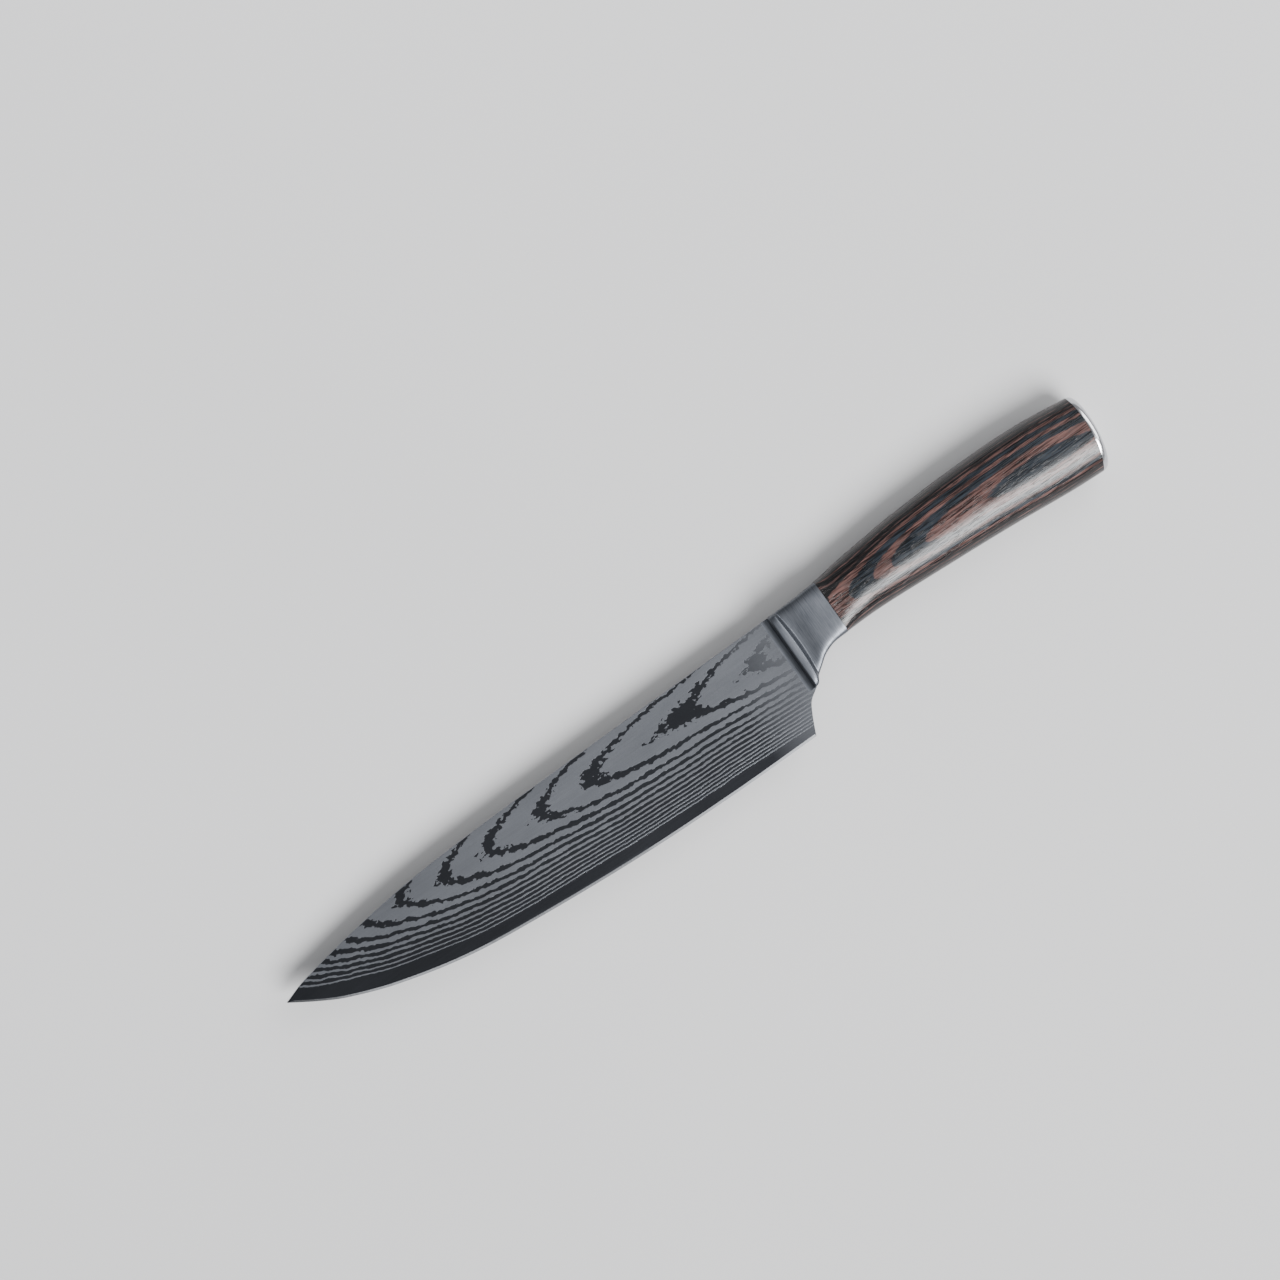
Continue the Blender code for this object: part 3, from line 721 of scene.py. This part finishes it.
def polished_steel():
    paint = Paint("polished_cap_steel", roughness=0.2, metallic=1.0)
    haze = paint.noise((3 * MM, 3 * MM, 3 * MM), detail=3)
    scratches = paint.noise((1.5 * MM, 0.08 * MM, 1.5 * MM), detail=2)
    paint.to_shader("Base Color", paint.ramp(haze, [(0.3, (0.50, 0.51, 0.53)), (0.7, (0.60, 0.60, 0.62))]))
    paint.to_shader("Roughness", paint.remap(scratches, 0.3, 0.7, 0.16, 0.26))
    return paint.material


def cured_epoxy():
    paint = Paint("cured_epoxy_resin", roughness=0.3)
    cloud = paint.noise((4 * MM, 4 * MM, 4 * MM), detail=3)
    paint.to_shader("Base Color", paint.ramp(cloud, [(0.3, (0.20, 0.15, 0.08)), (0.7, (0.32, 0.25, 0.14))]))
    paint.to_shader("Roughness", paint.remap(cloud, 0.3, 0.7, 0.2, 0.4))
    return paint.material


def repaint(node, material):
    """A carried-over CAD node keeps its mesh and takes a finished material."""
    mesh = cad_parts[node].data
    mesh.materials.clear()
    mesh.materials.append(material)


# ---------------------------------------------------------------- stage


def add_camera():
    """Straight above the knife, as the photo was taken."""
    camera = bpy.data.cameras.new("camera")
    camera.lens = LENS
    camera.sensor_width = SENSOR
    holder = bpy.data.objects.new("camera", camera)
    holder.location = CAMERA_AIM + Vector((0, 0, VIEW_WIDTH * LENS / SENSOR))
    holder.rotation_euler = (0, 0, CAMERA_TURN)
    bpy.context.scene.collection.objects.link(holder)
    bpy.context.scene.camera = holder


def direction(tilt_degrees, azimuth_degrees):
    """A unit vector: tilt is from straight up, azimuth from +X towards +Y."""
    tilt, azimuth = math.radians(tilt_degrees), math.radians(azimuth_degrees)
    across = math.sin(tilt)
    return Vector((across * math.cos(azimuth), across * math.sin(azimuth), math.cos(tilt)))


def add_softbox(name, tilt_degrees, azimuth_degrees, distance, width, height, radiance):
    """A soft lamp aimed at the knife."""
    lamp = bpy.data.lights.new(name, "AREA")
    lamp.shape = "RECTANGLE"
    lamp.size = width
    lamp.size_y = height
    lamp.energy = radiance * math.pi * width * height
    away = direction(tilt_degrees, azimuth_degrees)
    holder = bpy.data.objects.new(name, lamp)
    holder.location = away * distance
    holder.rotation_euler = away.to_track_quat("Z", "Y").to_euler()
    bpy.context.scene.collection.objects.link(holder)


def add_floor():
    """The pale sheet that the knife lies on."""
    bm = bmesh.new()
    bmesh.ops.create_grid(bm, x_segments=1, y_segments=1, size=FLOOR_REACH)
    mesh = bpy.data.meshes.new("floor")
    bm.to_mesh(mesh)
    bm.free()
    paint = Paint("pale_floor", roughness=0.8, specular=0.1)
    tone = paint.noise((0.4, 0.4, 0.4), detail=2)
    grey = paint.ramp(tone, [(0.3, (0.42, 0.42, 0.425)), (0.7, (0.45, 0.45, 0.455))])
    paint.to_shader("Base Color", grey)
    mesh.materials.append(paint.material)
    floor = bpy.data.objects.new("floor", mesh)
    bpy.context.scene.collection.objects.link(floor)


def add_sky_light(tilt_degrees, azimuth_degrees, spread_degrees, strength):
    """A wide soft disc of light at no particular distance, so that the floor is lit evenly."""
    lamp = bpy.data.lights.new("key", "SUN")
    lamp.angle = math.radians(spread_degrees)
    lamp.energy = strength
    holder = bpy.data.objects.new("key", lamp)
    holder.rotation_euler = direction(tilt_degrees, azimuth_degrees).to_track_quat("Z", "Y").to_euler()
    bpy.context.scene.collection.objects.link(holder)


def light_room():
    world = bpy.data.worlds.new("room")
    world.use_nodes = True
    world.node_tree.nodes["Background"].inputs["Color"].default_value = (0.95, 0.97, 1.0, 1)
    world.node_tree.nodes["Background"].inputs["Strength"].default_value = 0.38
    bpy.context.scene.world = world
    add_sky_light(38, -77, 36, 9.0)
    add_softbox("butt_glow", 50, 12, 1.4, 1.5, 0.75, 5.5)


add_camera()
add_floor()
light_room()

build_blade([damascus_steel(), ground_steel(), brushed_steel(
    "satin_spine", (0.32, 0.33, 0.35), (0.20, 0.21, 0.23), (9 * MM, 0.15 * MM, 0.15 * MM), 0.34)])
build_bolster(brushed_steel(
    "brushed_bolster", (0.145, 0.154, 0.173), (0.055, 0.060, 0.070), (0.3 * MM, 9 * MM, 9 * MM), 0.44))
wood = laminated_wood()
build_scale("left", 1, wood)
build_scale("right", -1, wood)
build_cap(polished_steel())

keel_grain, pin_grain = (6 * MM, 0.3 * MM, 0.3 * MM), (3 * MM, 3 * MM, 0.2 * MM)
keel_steel = brushed_steel("milled_keel", (0.34, 0.34, 0.35), (0.24, 0.24, 0.25), keel_grain, 0.5)
pin_steel = brushed_steel("turned_pin", (0.50, 0.50, 0.51), (0.36, 0.36, 0.37), pin_grain, 0.35)
repaint("tang_keel", keel_steel)
repaint("epoxy_bedding", cured_epoxy())
for pin in ("locating_pin_front", "locating_pin_rear", "cap_rivet"):
    repaint(pin, pin_steel)
